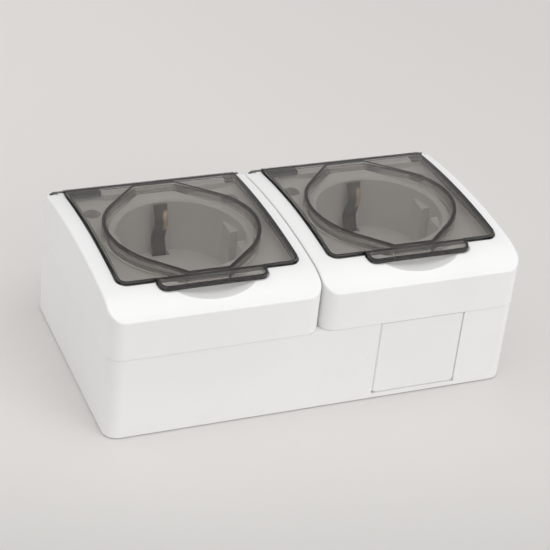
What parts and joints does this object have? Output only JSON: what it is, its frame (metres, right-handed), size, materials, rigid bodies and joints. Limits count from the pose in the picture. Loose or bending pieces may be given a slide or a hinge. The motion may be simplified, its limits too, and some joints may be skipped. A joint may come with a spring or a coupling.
{
  "type": "outdoor weatherproof socket",
  "caption": "Surface-mounted outdoor mains socket box with round recessed outlets under hinged smoky clear lids and a cable entry plate.",
  "frame": {"origin": "centre of the flat back, which rests on the wall or floor", "axes": "+X along the row of outlets, +Y towards the lid hinges, +Z away from the wall"},
  "size_m": [0.1314, 0.076, 0.0475],
  "materials": {
    "base": "smooth satin white moulding",
    "cover": "smooth white moulding",
    "entry": "smooth white moulding",
    "seal": "soft matt rubber",
    "lid": "smoky clear moulding, polished",
    "steel": "bright zinc",
    "insulator": "matt moulding",
    "strap": "dull bronze spring strip",
    "brass": "plain pressed brass"
  },
  "bodies": {
    "housing": {"base_box": "base", "box_seal": "seal", "cable_entry_plate": "entry", "cover_left": "cover", "well_insert_left": "cover", "hinge_wire_left": "steel", "mechanism_block_left": "insulator", "earth_strap_left": "strap", "live_contact_left": "brass", "neutral_contact_left": "brass", "cover_right": "cover", "well_insert_right": "cover", "hinge_wire_right": "steel", "mechanism_block_right": "insulator", "earth_strap_right": "strap", "live_contact_right": "brass", "neutral_contact_right": "brass", "clamp_screws": "steel", "cover_screws": "steel", "mechanism_screws": "steel", "well_screws": "steel"},
    "lid_left": {"lid_left": "lid"},
    "lid_right": {"lid_right": "lid"}
  },
  "joints": [
    {"name": "lid_left_hinge", "type": "hinge", "parent": "housing", "child": "lid_left", "pos_m": [-0.0321, 0.0306, 0.04437], "axis": [-1, 0, 0], "range_deg": [0, 110]},
    {"name": "lid_right_hinge", "type": "hinge", "parent": "housing", "child": "lid_right", "pos_m": [0.0338, 0.0306, 0.04437], "axis": [-1, 0, 0], "range_deg": [0, 110]}
  ]
}
